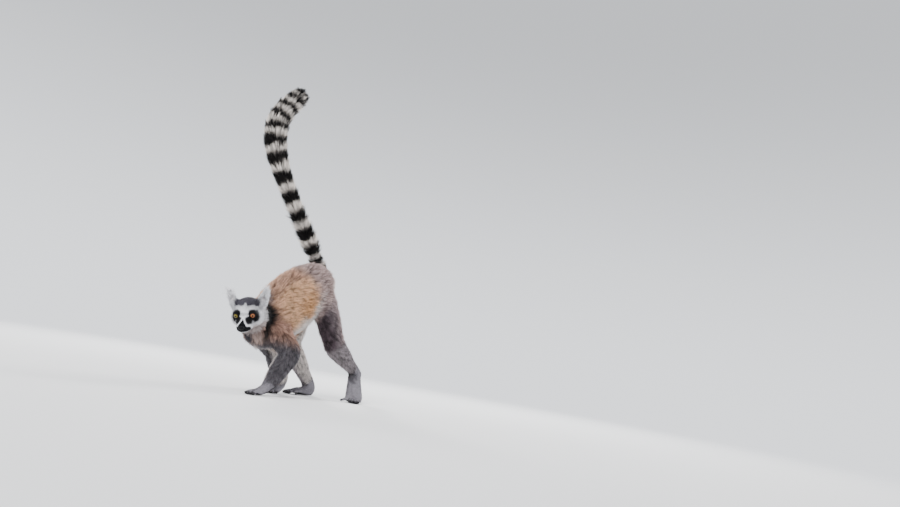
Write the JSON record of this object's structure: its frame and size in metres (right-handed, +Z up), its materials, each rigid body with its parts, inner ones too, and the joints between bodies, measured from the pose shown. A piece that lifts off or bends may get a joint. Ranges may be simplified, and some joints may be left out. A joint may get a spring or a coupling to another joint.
{
  "type": "ring-tailed lemur model",
  "caption": "Life-size still model of a ring-tailed lemur standing mid-stride on all fours, its banded tail held high and its head turned to one side.",
  "frame": {"origin": "middle of the model's bounding box in plan, at floor level", "axes": "+Z up; the body faces -Y, with the animal's left side on +X"},
  "size_m": [0.2138, 0.487, 0.767],
  "materials": {
    "white_fur": "short dense white fur",
    "grey_fur": "grizzled grey-brown fur",
    "brown_fur": "warm brown fur",
    "pale_fur": "pale grey fur",
    "dark_fur": "black and white banded fur",
    "nose_skin": "bare, moist, black",
    "eye": "glossy orange eye with a dark pupil"
  },
  "bodies": {
    "root": {"head": "white_fur", "ear_left": "white_fur", "ear_right": "white_fur", "eye_left": "eye", "eye_right": "eye", "nose": "nose_skin", "neck": "pale_fur", "chest": "grey_fur", "rump": "brown_fur", "upper_arm_left": "grey_fur", "upper_arm_right": "grey_fur", "forearm_left": "grey_fur", "forearm_right": "grey_fur", "hand_left": "pale_fur", "hand_right": "pale_fur", "thigh_left": "grey_fur", "thigh_right": "grey_fur", "shank_left": "pale_fur", "shank_right": "pale_fur", "foot_left": "pale_fur", "foot_right": "pale_fur", "tail_1": "dark_fur", "tail_2": "dark_fur", "tail_3": "dark_fur", "tail_4": "dark_fur", "tail_5": "dark_fur", "tail_6": "dark_fur"}
  },
  "joints": []
}
